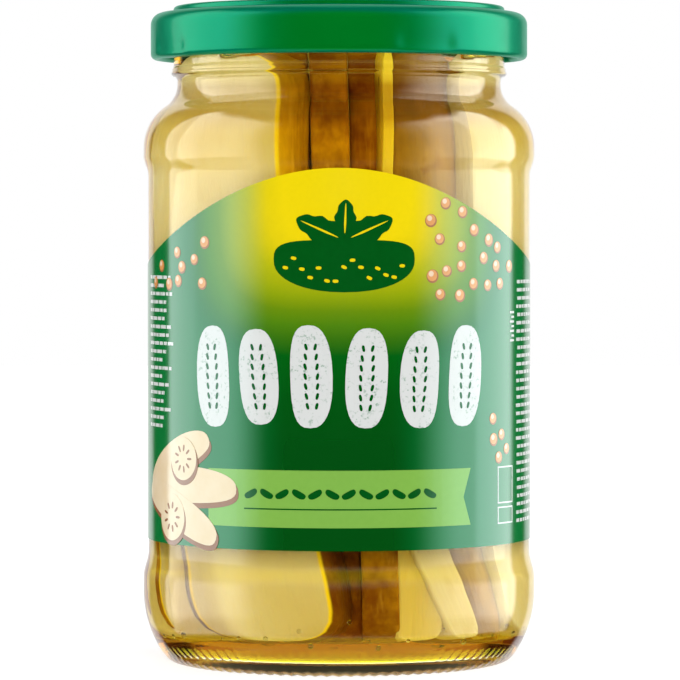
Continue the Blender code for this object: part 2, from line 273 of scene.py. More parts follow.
floor_bm = bmesh.new()
bmesh.ops.create_circle(floor_bm, cap_ends=True, segments=96, radius=FLOOR_RADIUS)
bmesh.ops.translate(floor_bm, verts=floor_bm.verts, vec=(0, 0, FLOOR_DROP))
if floor_bm.faces[:][0].normal.z < 0:
    bmesh.ops.reverse_faces(floor_bm, faces=floor_bm.faces[:])
light_table, tree, shader = new_material(
    "light_table", Base_Color=(0.5, 0.5, 0.5, 1), Roughness=0.6, Specular_IOR_Level=0.0,
    Emission_Color=WHITE, Emission_Strength=0.62
)
floor = built(floor_bm, "floor", light_table)
floor.visible_glossy = False
floor.visible_shadow = False
floor.visible_transmission = False

# %% [markdown]
# ## Turning round things from a profile
#
# The glass, the brine and the lid are round, so each is drawn as half a cross-section, a list of
# (radius, height) points in millimetres, and spun about the jar's axis.

# %% Profile helpers
def arc(centre, radius, start, end, steps):
    """Points along an arc from one angle to another, in degrees, both ends included."""
    angles = [math.radians(start + (end - start) * step / steps) for step in range(steps + 1)]
    return [(centre[0] + radius * math.cos(a), centre[1] + radius * math.sin(a)) for a in angles]


def ease(low, high, steps):
    """Points on a smooth S between two (radius, height) points."""
    shares = [step / steps for step in range(steps + 1)]
    reach, rise = high[0] - low[0], high[1] - low[1]
    return [(low[0] + reach * t * t * (3 - 2 * t), low[1] + rise * t) for t in shares]


def shoulder_to_neck(radius, curve, height, neck_radius, neck_curve, steps):
    """A round shoulder that runs without a corner into the hollow below a straight neck."""
    shoulder_x = radius - curve
    neck_x = neck_radius + neck_curve
    rise = math.sqrt((curve + neck_curve) ** 2 - (neck_x - shoulder_x) ** 2)
    meeting = math.degrees(math.atan2(rise, neck_x - shoulder_x))
    convex = arc((shoulder_x, height), curve, 0, meeting, steps)
    return convex + arc((neck_x, height + rise), neck_curve, 180 + meeting, 180, steps)[1:]


def turned(profile, steps):
    """Spin a profile about the jar's axis into a closed skin with its faces outwards."""
    bm = bmesh.new()
    points = [bm.verts.new((radius * MM, 0, height * MM)) for radius, height in profile]
    edges = [bm.edges.new(pair) for pair in zip(points, points[1:])]
    bmesh.ops.spin(
        bm, geom=points + edges, axis=(0, 0, 1), cent=(0, 0, 0), angle=math.tau, steps=steps, use_merge=True
    )
    bmesh.ops.remove_doubles(bm, verts=bm.verts[:], dist=0.002 * MM)
    bmesh.ops.recalc_face_normals(bm, faces=bm.faces[:])
    return bm


def facing(angle):
    """The level direction at an angle from the label's middle, positive to the right."""
    return Vector((math.sin(angle), -math.cos(angle), 0))


def smooth(value, low, high):
    """0 below low, 1 above high, and an even S between them."""
    t = min(max((value - low) / (high - low), 0.0), 1.0)
    return t * t * (3 - 2 * t)


def between(value, starts, full, fades, ends):
    """1 from full to fades and 0 outside starts and ends."""
    return smooth(value, starts, full) * smooth(-value, -ends, -fades)


def place_of(vert):
    """A point's radius, turn and height, in millimetres and radians."""
    return math.hypot(vert.co.x, vert.co.y) / MM, math.atan2(vert.co.x, -vert.co.y), vert.co.z / MM


def reshape(bm, new_radius):
    """Move the points of a round skin to the radius that a function gives for their place."""
    for vert in bm.verts:
        radius, angle, height = place_of(vert)
        if radius > 0.01:
            moved = new_radius(radius, angle, height)
            vert.co.x *= moved / radius
            vert.co.y *= moved / radius


def face_outwards(bm):
    """Turn the faces of a closed skin so that it encloses a positive volume."""
    bmesh.ops.recalc_face_normals(bm, faces=bm.faces[:])
    if bm.calc_volume(signed=True) < 0:
        bmesh.ops.reverse_faces(bm, faces=bm.faces[:])


def piece(bm, name, material, sharp=None):
    """Turn a bmesh into an object that rides with the jar."""
    made = built(bm, name, material)
    made.data.shade_smooth()
    if sharp:
        made.data.set_sharp_from_angle(angle=math.radians(sharp))
    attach(made, "root")
    print(name, "faces:", len(made.data.polygons))
    return made


# %% [markdown]
# ## The glass
#
# The jar is blown into a mould, so its outside is exact and its inside is a little uneven. The outside
# has a hollow under the foot, a heavy heel, a sunk panel that keeps the label from rubbing, a shoulder,
# a bead and the finish. The outer profile goes up to the rim and the inner one comes back down.

# %% Glass profile
INNER_RADIUS = 33.0
INNER_NECK = 27.6
INNER_HEEL = 5.5
INNER_FLOOR = 3.2
PANEL_RADIUS = 35.3
ROUND_STEPS = 360


def inside_wall(offset):
    """The inner side of the glass from the floor's middle to the neck, moved outwards by an offset."""
    heel_centre = (INNER_RADIUS - INNER_HEEL, INNER_FLOOR + INNER_HEEL)
    points = [(0, INNER_FLOOR + 0.5 - offset), (12, INNER_FLOOR + 0.3 - offset)]
    points += arc(heel_centre, INNER_HEEL + offset, -90, 0, 10)
    points += [(INNER_RADIUS + offset, height) for height in range(20, 95, 6)]
    points += shoulder_to_neck(INNER_RADIUS + offset, 7.0 + offset, 95, INNER_NECK + offset, 6.9 - offset, 9)
    return points


def outside_wall():
    """The outer side of the glass from the middle of its foot up to the rim."""
    points = [(0, 1.3), (14, 1.2), (24.6, 1.05), (26.2, 0.75), (27.2, 0.3), (27.9, 0.06), (28.8, 0.0)]
    points += [(29.6, 0.0), (30.4, 0.05), (31.1, 0.22), (31.8, 0.62)]
    points += arc((16.11, 13.0), 20.15, -35.8, 0, 12)
    points += [(36.26, 14.4)] + ease((36.26, 15.6), (PANEL_RADIUS, 20.6), 8)
    points += [(PANEL_RADIUS, height) for height in range(26, 86, 8)]
    points += ease((PANEL_RADIUS, 89.9), (36.15, 93.4), 8)
    points += shoulder_to_neck(36.15, 9.17, 95, 29.9, 4.9, 10)
    points += [(29.92, 107.4), (30.1, 107.9), (30.75, 108.2), (31.0, 108.5), (30.98, 108.85), (30.8, 109.1)]
    points += [(30.86, 109.35), (30.7, 109.65)]
    points += [(30.6, 109.9 + 0.4 * step) for step in range(21)]
    points += [(30.3, 118.6), (29.9, 118.9)] + arc((28.9, 119.1), 1.0, 0, 90, 5)
    return points


def inner_radius(height):
    """The inner radius of the glass at a height, read off its profile."""
    wall = inside_wall(0.0)[2:]
    for below, above in zip(wall, wall[1:]):
        if height <= above[1]:
            span = max(above[1] - below[1], 1e-6)
            return below[0] + (above[0] - below[0]) * max(height - below[1], 0) / span
    return INNER_NECK


bore = arc((28.4, 119.3), 0.8, 90, 180, 3)
glass_profile = outside_wall() + bore + inside_wall(0.0)[::-1]
glass_bm = turned(glass_profile, ROUND_STEPS)
print("glass profile points:", len(glass_profile))

# %% [markdown]
# Three details are pressed into the spun skin by moving its points. Knurls round the bearing ring keep
# the hot glass off the conveyor and show as a string of beads. Thread starts climb the finish. And the
# inside gets the slow unevenness of blown glass, which makes what is seen through it waver.

# %% Knurls, thread starts and the uneven inside
KNURLS, KNURL_DEPTH, KNURL_BAND = 90, 0.24, (26.4, 27.8, 31.2, 33.2)
FOOT_TOP = 2.6
THREAD_STARTS = 4
THREAD_FIRST, THREAD_SPAN = math.radians(-46), math.radians(78)
THREAD_LEAD, THREAD_LOW = 20.0, 111.7
THREAD_HALF, THREAD_REACH, THREAD_FADE = 1.15, 1.5, 0.09
FINISH_LOW, FINISH_RADIUS = 109.8, 30.3
UNEVEN_BAND = (5, 12, 100, 108)


def unevenness(angle, height):
    """How far the inside of the glass strays from round, in millimetres."""
    slow = noise.noise(Vector((2.2 * math.sin(angle), 2.2 * math.cos(angle), height / 30)))
    fine = noise.noise(Vector((6 * math.sin(angle), 6 * math.cos(angle), height / 14 + 9)))
    return (0.35 * slow + 0.08 * fine) * between(height, *UNEVEN_BAND)


def thread_relief(angle, height):
    """How far the finish stands out at a place on it."""
    relief = 0.0
    for start in range(THREAD_STARTS):
        along = (angle - THREAD_FIRST - math.tau * start / THREAD_STARTS) % math.tau / THREAD_SPAN
        middle = THREAD_LOW + THREAD_LEAD * THREAD_SPAN * along / math.tau
        across = abs(height - middle) / THREAD_HALF
        if along <= 1 and across < 1:
            ends = smooth(along, 0, THREAD_FADE) * smooth(1 - along, 0, THREAD_FADE)
            relief = max(relief, THREAD_REACH * ends * (1 - across**2) ** 0.7)
    return relief


def glass_radius(radius, angle, height):
    """The radius of a point of the glass, with the thread outside and the unevenness inside."""
    if height > FINISH_LOW and radius > FINISH_RADIUS:
        return radius + thread_relief(angle, height)
    if radius < inner_radius(height) + 0.6:
        return radius + unevenness(angle, height)
    return radius


reshape(glass_bm, glass_radius)
for vert in glass_bm.verts:
    radius, angle, height = place_of(vert)
    if height < FOOT_TOP:
        ridge = 0.5 - 0.5 * math.cos(KNURLS * angle)
        vert.co.z += KNURL_DEPTH * ridge * between(radius, *KNURL_BAND) * MM

# %% [markdown]
# Clear glass hardly colours what is behind it, so its look is all in its edges: an index of refraction
# near 1.52, a polished surface and a very faint wave. A specular tint tones down what it mirrors.

# %% Clear glass
glass_finish, tree, shader = new_material(
    "clear_glass", Base_Color=(0.985, 0.995, 0.985, 1), Roughness=0.0, IOR=1.52,
    Transmission_Weight=1.0, Specular_Tint=(0.72, 0.70, 0.55, 1)
)
spot = node(tree, "TexCoord").outputs["Object"]
bumped(tree, shader, noise_of(tree, spot, 60.0, 1.0), 0.06, 1.0 * MM)
clear_to_light(tree, shader, (0.97, 0.98, 0.97))

glass = piece(glass_bm, "glass", glass_finish)
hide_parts("glass_jar")

# %% [markdown]
# ## The brine
#
# The brine wets the glass, so its skin reaches a tenth of a millimetre into the wall, which makes the
# light bend from glass to brine as it should. It climbs the wall a little at the top, as any water
# does. Its colour is in its depth: an absorbing volume, pale yellow when thin and amber when deep.

# %% Brine
BRINE_INTO_WALL = 0.12
BRINE_LEVEL = 112.6
MENISCUS_TOP = 114.0
MENISCUS_WIDTH = 0.9
BRINE_STEPS = 240
BRINE_COLOUR = (0.92, 0.79, 0.06, 1)
BRINE_DENSITY = 170.0

brim = INNER_NECK + BRINE_INTO_WALL
wall = inside_wall(BRINE_INTO_WALL) + [(brim, height) for height in (107.5, 109.5, 111.5, 113.0)]
surface = []
for inwards in (0.0, 0.25, 0.6, 1.0, 1.5, 2.2, 3.2, 5.0, 9.0, 16.0):
    climb = (MENISCUS_TOP - BRINE_LEVEL) * math.exp(-inwards / MENISCUS_WIDTH)
    surface.append((brim - inwards, BRINE_LEVEL + climb))
brine_bm = turned(wall + surface + [(0, BRINE_LEVEL)], BRINE_STEPS)


def brine_radius(radius, angle, height):
    """The radius of a point of the brine, which follows the uneven glass."""
    wetting = radius > inner_radius(height) - 0.2
    return radius + (unevenness(angle, height) if wetting else 0.0)


reshape(brine_bm, brine_radius)
brine_finish, tree, shader = new_material(
    "amber_brine", Base_Color=(1.0, 0.98, 0.90, 1), Roughness=0.0, IOR=1.36, Transmission_Weight=1.0
)
clear_to_light(tree, shader, (1.0, 0.98, 0.90))
absorption = node(tree, "VolumeAbsorption", {"Color": BRINE_COLOUR, "Density": BRINE_DENSITY})
tree.links.new(absorption.outputs[0], tree.nodes["Material Output"].inputs["Volume"])
piece(brine_bm, "brine", brine_finish)

# %% [markdown]
# ## The gherkin slices
#
# Big gherkins are cut lengthwise into planks and packed on end, with a narrow edge of skin down both
# sides. A plank starts as a flat grid, gets its thickness from solidify and its rounded edges from
# bevel. Its points are then moved: the ends are rounded, it leans, and the heel and neck draw it in.
#
# A row of SLICES places one plank by four pairs, each low down and high up: its turn in degrees from
# the label's middle, how far out its face is, how far it is moved aside and half its width. The last
# number is its top. Then come the odd ones: an outer cut that is all skin and how far it domes, planks
# that curl, planks without skin, one that starts higher up, yellow ones, and how much darker the skin
# is low down.

# %% Slice placing
SLICE_THICKNESS = 6.4
SLICE_FOOT = 7.0
WALL_CLEARANCE = 0.35
LEAN_LOW, LEAN_HIGH = 15.0, 95.0
LEFT_BEND, OTHER_BEND = 1.8, 3.7
LEAVES_WALL = (90, 105)
STRAIGHT_HALF = 15.0
SLICES = {
    "left_1": (-19.8, -44.5, 31.4, 31.4, -1.7, -1.7, 14.5, 17.2, 112),
    "left_2": (-19.8, -44.5, 22.0, 22.0, -12.6, -11.8, 11.7, 11.7, 104),
    "left_3": (-19.8, -44.5, 15.6, 15.6, -16.9, -17.4, 11.8, 11.8, 109),
    "left_4": (-19.8, -44.5, 9.2, 9.2, -19.2, -19.6, 10.6, 10.6, 102),
    "left_5": (-19.8, -44.5, 2.8, 2.8, -22.0, -22.4, 8.3, 8.3, 105),
    "left_6": (-64, -64, 30.4, 30.4, 0.0, 0.0, 12.5, 12.5, 40),
    "edge_1": (90, 90, -2.6, -4.7, -6.6, -13.0, 10.8, 11.4, 112),
    "edge_2": (90, 90, 3.8, 1.7, -12.0, -17.6, 12.8, 12.8, 112),
    "edge_3": (90, 90, 10.2, 8.1, -17.8, -12.4, 12.8, 12.8, 112),
    "front_1": (22, 22, 30.0, 30.0, 2.5, 2.5, 4.4, 4.4, 40),
    "front_2": (15.6, 15.6, 31.2, 31.2, 0, 0, 0.9, 0.9, 112),
    "front_3": (48.7, 18.7, 31.4, 31.4, -0.9, -0.9, 3.6, 3.6, 40),
    "right_1": (59, 32.5, 31.0, 31.0, 1.8, -1.0, 4.6, 7.6, 112),
    "right_2": (59, 44, 22.8, 22.8, 4.2, 3.4, 4.2, 3.6, 44),
    "right_3": (84, 66, 32.0, 32.1, 2.6, 1.7, 13.2, 13.5, 112),
    "right_4": (84, 66, 22.8, 22.8, 5.2, 4.8, 6.6, 8.4, 104),
    "right_5": (84, 66, 16.4, 16.4, 2.8, 5.6, 5.2, 6.0, 110),
    "back_1": (184, 168, 29.2, 29.2, 0.0, 0.0, 12.6, 12.6, 108),
    "back_2": (184, 168, 22.8, 22.8, 4.0, 4.6, 12.2, 12.2, 105),
    "back_3": (184, 168, 16.4, 16.4, 0.4, 0.8, 9.7, 9.7, 110),
    "back_4": (184, 168, 10.0, 10.0, -5.6, -3.4, 6.4, 6.6, 101),
    "back_5": (132, 116, 29.6, 29.6, 1.0, 1.4, 6.0, 6.0, 106),
    "back_6": (132, 116, 23.2, 23.2, 4.0, 4.0, 4.8, 4.8, 109),
}
SKIN_OUTSIDE = {"right_1": 4.0}
CURLED = {"left_1": 2.8, "left_6": 1.6}
PLAIN_EDGED = ("left_6", "front_1", "front_2", "front_3", "right_3")
STARTS_HIGHER = {"front_2": 52.0}
YELLOWER = {"front_1": 0.14, "front_2": 0.3}
LOW_DARKENING = {"left_1": 0.75, "edge_1": 0.62, "edge_2": 0.25, "right_1": 0.0}
OTHERS_LOW_DARKENING = 0.45


def share_up(height):
    return (height - LEAN_LOW) / (LEAN_HIGH - LEAN_LOW)


def room_at(height):
    """How far from the axis a plank reaches: stiff planks leave the wall before the shoulder does."""
    leaving = INNER_RADIUS - (INNER_RADIUS - INNER_NECK) * smooth(height, *LEAVES_WALL)
    return min(inner_radius(height), leaving) - WALL_CLEARANCE


def stands_at(name, row, across, height, depth):
    """The place in the jar of a point of a plank, in millimetres."""
    turn_low, turn_high, out_low, out_high, aside_low, aside_high = row[:6]
    power = LEFT_BEND if name.startswith("left") else OTHER_BEND
    bend = min(max((LEAN_HIGH - height) / (LEAN_HIGH - 5), 0), 1) ** power
    outward = facing(math.radians(turn_high + (turn_low - turn_high) * bend))
    sideways = Vector((-outward.y, outward.x, 0))
    face = out_low + (out_high - out_low) * share_up(height)
    aside = aside_low + (aside_high - aside_low) * share_up(height)
    place = outward * (face - SLICE_THICKNESS / 2 + depth) + sideways * (aside + across)
    full, room = INNER_RADIUS - WALL_CLEARANCE, room_at(height)
    if place.length > full - 0.05:
        place *= (full - 0.05) / place.length
    beyond = max(abs(place.x) - STRAIGHT_HALF, 0) * (full - room) / (full - STRAIGHT_HALF)
    x = math.copysign(abs(place.x) - beyond, place.x)
    y = place.y * math.sqrt(max(room**2 - x**2, 0.0) / (full**2 - place.x**2))
    return Vector((x, y, height))

print("planks:", len(SLICES))

# %% [markdown]
# Every point of a plank says how it is stained and where shade is painted on it. Rind is the skin, tan
# and amber are lighter skins, and brown makes the skin darker low down and, as painted shade, just
# under the lid. One more mark is only painted shade: a darker band at the shoulder on every plank, and
# darker parts of two planks at the left.

# %% One slice
STAINS_AND_SHADE = ("rind", "tan", "amber", "painted_shade", "brown")
END_POWER = 26
EDGE_ROUNDING = 1.0


def blank(half_width, length):
    """A flat plank of even thickness with rounded edges."""
    bm = bmesh.new()
    bmesh.ops.create_grid(bm, x_segments=14, y_segments=max(20, int(length * 0.6)), size=0.5)
    bmesh.ops.scale(bm, verts=bm.verts, vec=(2 * half_width, length, 1))
    bmesh.ops.solidify(bm, geom=bm.faces[:], thickness=SLICE_THICKNESS)
    middle = sum(v.co.z for v in bm.verts) / len(bm.verts)
    bmesh.ops.translate(bm, verts=bm.verts, vec=(0, 0, -middle))
    bmesh.ops.recalc_face_normals(bm, faces=bm.faces[:])
    rim = [e for e in bm.edges if len(e.link_faces) == 2 and e.calc_face_angle() > 1]
    rounding = {"offset": EDGE_ROUNDING, "segments": 3, "profile": 0.5, "clamp_overlap": True}
    bmesh.ops.bevel(bm, geom=rim, affect="EDGES", material=-1, **rounding)
    return bm


def stains_and_shade_of(name, skin, across, height):
    """How strong each stain and the painted shade are at a point of a plank, in the order of their names."""
    rind = YELLOWER.get(name, 0.0 if name in PLAIN_EDGED else min(skin, 1.0))
    tan = 1.0 if name in SKIN_OUTSIDE else 0.0
    amber = 0.0
    # Painted shade in a band at the shoulder.
    painted_shade = smooth(height, 96.5, 99.5) - smooth(height, 105.0, 108.0)
    # The skin is darker low down, and near the top it is darkened again as painted shade under the lid.
    brown = LOW_DARKENING.get(name, OTHERS_LOW_DARKENING) * (1 - smooth(height, 30, 70)) + 0.45 * smooth(height, 104, 107)
    if name == "left_6":
        # Painted shade over one half of this plank.
        painted_shade = 0.9 * smooth(across, -3, 3)
    if name == "left_1":
        rind *= 1 - smooth(height, 55, 75) if across < 0 else 1
        amber = smooth(height, 50, 75)
        # Painted shade on the lower left of this plank, added to the band at the shoulder.
        painted_shade = 0.7 * painted_shade + 0.9 * smooth(-across, 6, 12) * (1 - smooth(height, 30, 60))
    return rind, tan, amber, painted_shade, brown


def cut_slice(name, row, seed):
    """A plank with its own outline, in its place, with its stains, its painted shade and a spot for its
    pattern.
    """
    half_low, half_high, top = row[6:]
    foot = STARTS_HIGHER.get(name, SLICE_FOOT)
    length = top - foot
    bm = blank(half_high, length)
    plank = bm.verts.layers.float_vector.new("plank")
    layers = [bm.verts.layers.float.new(mark) for mark in STAINS_AND_SHADE]
    for vert in bm.verts:
        across, along, depth = vert.co
        height = foot + along + length / 2
        width = (half_low + (half_high - half_low) * share_up(height)) / half_high
        outline = max(0.0, 1 - abs(2 * along / length) ** END_POWER) ** 0.5
        outline *= 1 + 0.04 * noise.noise(Vector((seed, 0, along / 16)))
        shaped = across * width * (0.25 + 0.75 * outline)
        inside = half_high - abs(across)
        if name in SKIN_OUTSIDE:
            domed = 1 - (across / half_high) ** 2
            outer = smooth(depth, -1.0, 2.4)
            depth = -1.0 + (SKIN_OUTSIDE[name] * domed) * outer + 0.3 * (depth + 3) * (1 - outer) / 3
            skin = max(outer, smooth(-inside, -0.8, -0.2))
        else:
            skin = smooth(-inside, -1.7, -0.9)
        vert[plank] = (shaped * MM, depth * MM, (height + 40 * seed) * MM)
        for layer, share in zip(layers, stains_and_shade_of(name, skin, across, height)):
            vert[layer] = share
        depth -= CURLED.get(name, 0.0) * (across / half_high) ** 2
        wave = 0.3 * noise.noise(Vector((shaped / 14, along / 22, seed * 3.1)))
        vert.co = stands_at(name, row, shaped, height, depth + wave) * MM
    face_outwards(bm)
    return bm


# %% [markdown]
# The flesh is pale and watery, with a yellower rim under the skin and faint seed pockets in the middle.
# The skin has turned olive and brown in the brine, mottled and slightly warty. One material does both:
# rind blends them, the other marks colour them, and the plank attribute gives each its own pattern.
# Some marks are painted shade: a darker band at the shoulder, a darker top under the lid, and darker
# parts of two planks at the left.

# %% Gherkin finish
gherkin, tree, shader = new_material(
    "gherkin", Roughness=0.35, IOR=1.4, Specular_IOR_Level=0.04, Subsurface_Weight=0.35,
    Subsurface_Radius=(1.0, 0.7, 0.2), Subsurface_Scale=3.0 * MM
)
plank_spot = attribute_of(tree, "plank", "Vector")
rind_share, tan_share, amber_share, painted_shade_share, darker_low_and_painted_shade_share = [attribute_of(tree, name) for name in STAINS_AND_SHADE]
parts = node(tree, "SeparateXYZ", {0: plank_spot})
side = math_node(tree, "ABSOLUTE", parts.outputs["X"])
cloud = noise_of(tree, plank_spot, 90.0, 2.0)
fibres = noise_of(tree, stretched(tree, plank_spot, (1, 1, 0.12)), 900.0, 3.0)
flesh = mixed(tree, cloud, (0.58, 0.46, 0.20, 1), (0.64, 0.55, 0.32, 1))
flesh = mixed(tree, product(tree, fibres, 0.2), flesh, (0.52, 0.38, 0.13, 1))
seed_spot = stretched(tree, plank_spot, (1.0, 0.4, 0.42))
seeds = node(tree, "TexVoronoi", {"Vector": seed_spot, "Scale": 330.0}).outputs["Distance"]
seed_mark = smooth_step(tree, seeds, 0.16, 0.34, 1.0, 0.0)
core = smooth_step(tree, side, 3.0 * MM, 6.5 * MM, 1.0, 0.0)
seed_share = product(tree, product(tree, seed_mark, core), 0.25)
flesh = mixed(tree, seed_share, flesh, (0.50, 0.36, 0.09, 1))
body = mixed(tree, smooth_step(tree, rind_share, 0.01, 0.40), flesh, (0.82, 0.60, 0.012, 1))
# Painted shade: the flesh is darkened at the shoulder and on two planks at the left.
body = mixed(tree, painted_shade_share, body, (0.63, 0.52, 0.38, 1), "MULTIPLY")

skin_cloud = noise_of(tree, plank_spot, 115.0, 4.0, 0.65)
streaks = noise_of(tree, stretched(tree, plank_spot, (1, 1, 0.22)), 420.0, 3.0, 0.55)
skin = mixed(tree, smooth_step(tree, skin_cloud, 0.3, 0.7), (0.22, 0.07, 0.0, 1), (0.62, 0.31, 0.004, 1))
skin = mixed(tree, smooth_step(tree, streaks, 0.55, 0.75, 0.0, 0.6), skin, (0.78, 0.44, 0.03, 1))
skin = mixed(tree, smooth_step(tree, streaks, 0.25, 0.42, 0.5, 0.0), skin, (0.16, 0.035, 0.0, 1))
skin = mixed(tree, product(tree, amber_share, 0.45), skin, (0.80, 0.46, 0.004, 1))
skin = mixed(tree, product(tree, tan_share, 0.65), skin, (0.37, 0.25, 0.055, 1))
blotch = product(tree, tan_share, smooth_step(tree, skin_cloud, 0.52, 0.66, 0.0, 0.7))
skin = mixed(tree, blotch, skin, (0.26, 0.12, 0.012, 1))
# The skin turns darker low down, and painted shade darkens it just under the lid.
skin = mixed(tree, darker_low_and_painted_shade_share, skin, (0.10, 0.02, 0.0, 1))
# Painted shade on the skin, the same as on the flesh.
skin = mixed(tree, painted_shade_share, skin, (0.45, 0.30, 0.3, 1), "MULTIPLY")
shade(tree, shader, Base_Color=mixed(tree, smooth_step(tree, rind_share, 0.5, 0.9), body, skin))
warts = math_node(tree, "ADD", product(tree, skin_cloud, rind_share), fibres)
bumped(tree, shader, warts, 0.5, 0.7 * MM)

for seed, (name, row) in enumerate(SLICES.items(), 1):
    made = piece(cut_slice(name, row, seed), "slice_" + name, gherkin, sharp=60)
    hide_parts("gherkin_slices")

# %% [markdown]
# A few small bubbles cling to the glass near the foot, where they are trapped when the jar is filled.

# %% Bubbles
BUBBLES = 46
BUBBLE_SIZES = (0.22, 0.62)
LOW_BUBBLES, HIGH_BUBBLES = (5.6, 7.4), (7.4, 11.0)

bubble_finish, tree, shader = new_material("bubble", Roughness=0.0, IOR=1.25, Transmission_Weight=1.0)
clear_to_light(tree, shader, (1.0, 1.0, 1.0))
bubbles_bm = bmesh.new()
random.seed(17)
for number in range(BUBBLES):
    size = random.uniform(*BUBBLE_SIZES)
    height = random.uniform(*(LOW_BUBBLES if number % 4 else HIGH_BUBBLES))
    angle = math.tau * number / BUBBLES + random.uniform(-0.06, 0.06)
    away = inner_radius(height) + unevenness(angle, height) - size - 0.05
    spot_at = facing(angle) * away + Vector((0, 0, height))
    bmesh.ops.create_icosphere(
        bubbles_bm, subdivisions=2, radius=size * MM, matrix=Matrix.Translation(spot_at * MM)
    )
piece(bubbles_bm, "bubbles", bubble_finish)

# %% [markdown]
# ## The lid
#
# A twist-off lid is drawn from tinplate: a stepped top with a safety button, a plain skirt, and a
# curled edge pressed inwards in four places to make the lugs. The slight dents over them catch light.

# %% Lid
LID_RADIUS = 34.8
LID_BOTTOM = 111.2
LUG_FIRST = math.radians(27)
LUG_HALF = math.radians(9)
LUG_REACH = 1.35
DENT_DEPTH = 0.28
DENT_BAND = (111.4, 112.6, 113.2, 116.2)


def lid_outside():
    """The lid's outer side from the middle of the button to the inside of the curled edge."""
    points = [(0, 119.35), (9.2, 119.35), (9.9, 119.45), (10.6, 119.68), (11.3, 119.8), (12.2, 119.83)]
    points += [(18, 119.8), (24.6, 119.75), (25.6, 119.8), (26.3, 120.1), (26.8, 120.6), (27.3, 120.9)]
    points += [(27.9, 121.0)]
    points += [(29.2, 121.0)] + arc((30.0, 120.4), 0.6, 90, 0, 4)
    points += [(30.62, 120.1), (30.75, 119.9), (31.1, 119.82), (32.0, 119.8)]
    points += arc((32.6, 117.6), 2.2, 88, 0, 8)
    points += [(LID_RADIUS, height) for height in (116.4, 115.2, 114.2, 113.4, 112.8)]
    points += arc((LID_RADIUS - 1.0, LID_BOTTOM + 1.0), 1.0, 0, -210, 9)
    return points


def lug_share(angle):
    """How much of a lug there is at an angle round the lid."""
    nearest = min(abs((angle - LUG_FIRST - math.pi / 2 * k + math.pi) % math.tau - math.pi) for k in range(4))
    return smooth(-nearest, -1.25 * LUG_HALF, -0.75 * LUG_HALF)


def lid_radius(radius, angle, height):
    """The radius of a point of the lid: the edge is pressed in at the lugs, with a dent over each."""
    if radius < 32.4:
        return radius
    share = lug_share(angle)
    if height < LID_BOTTOM + 0.95 and radius < LID_RADIUS - 0.9:
        return radius - LUG_REACH * share
    return radius - DENT_DEPTH * share * between(height, *DENT_BAND)


lid_bm = turned(lid_outside(), ROUND_STEPS)
if max(lid_bm.faces, key=lambda face: face.calc_center_median().x).normal.x < 0:
    bmesh.ops.reverse_faces(lid_bm, faces=lid_bm.faces[:])
reshape(lid_bm, lid_radius)

# %% [markdown]
# Lid lacquer is a green coat over bright tin, so it is partly metallic: dark where it mirrors the room
# and pale where it mirrors a panel. At a slant its colour turns bluer, a painted sheen for the bluish
# green of the mirrored panels. A fine orange peel breaks it all up.

# %% Green lacquer
lacquer, tree, shader = new_material(
    "green_lacquer", IOR=1.5, Metallic=0.52, Specular_IOR_Level=0.1,
    Specular_Tint=(0.0, 0.8, 0.6, 1), Coat_Weight=0.12, Coat_Roughness=0.06
)
spot = node(tree, "TexCoord").outputs["Object"]
drift = noise_of(tree, spot, 45.0, 2.0)
facing_away = node(tree, "LayerWeight", {"Blend": 0.5}).outputs["Facing"]
# Painted sheen: at a slant the base colour turns a bluer green, standing in for the mirrored panels.
slant_painted_sheen = smooth_step(tree, facing_away, 0.01, 0.22)
flat_on = mixed(tree, drift, (0.0, 0.212, 0.016, 1), (0.0, 0.23, 0.02, 1))
shade(tree, shader, Base_Color=mixed(tree, slant_painted_sheen, flat_on, (0.0, 0.205, 0.10, 1)))
shade(tree, shader, Roughness=smooth_step(tree, noise_of(tree, spot, 380.0), 0.3, 0.7, 0.30, 0.34))

lid = piece(lid_bm, "lid_cap", lacquer)
thickness = lid.modifiers.new("sheet", "SOLIDIFY")
thickness.thickness = 0.3 * MM
thickness.offset = -1
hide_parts("lid")
lid.visible_shadow = False

# %% [markdown]
# ## The label
#
# The label is one strip of coated paper, glued into the sunk panel with no air behind it. Its top edge
# rises in an arch at the front. The strip is made flat and then wrapped: a point's distance along the
# strip becomes a turn round the jar. Its far end laps over its near end at the back.

# %% Label strip
LABEL_RADIUS = 35.42
LABEL_BOTTOM = 22.9
LABEL_SIDE_TOP = 72.9
LABEL_CREST = 90.8
ARCH_HALF = 60.0
STRIP_LOW, STRIP_HIGH = -111.0, 118.0
LAP_LIFT, LAP_CLIMB = 0.12, (104.5, 108.5)
GLUE_DEPTH, LAP_DEPTH = 0.22, 0.1


def label_top(along):
    swell = 0.5 + 0.5 * math.cos(math.pi * min(abs(along), ARCH_HALF) / ARCH_HALF)
    return LABEL_SIDE_TOP + (LABEL_CREST - LABEL_SIDE_TOP) * swell


def lapped(along):
    """The strip's outer radius: its far end climbs over the near one."""
    return LABEL_RADIUS + LAP_LIFT * smooth(along, *LAP_CLIMB)


def wrapped(along, height, lift=0.0):
    """A place on the jar from a place on the flat strip, both in millimetres."""
    place = facing(along / LABEL_RADIUS) * (lapped(along) + lift)
    return Vector((place.x, place.y, height)) * MM


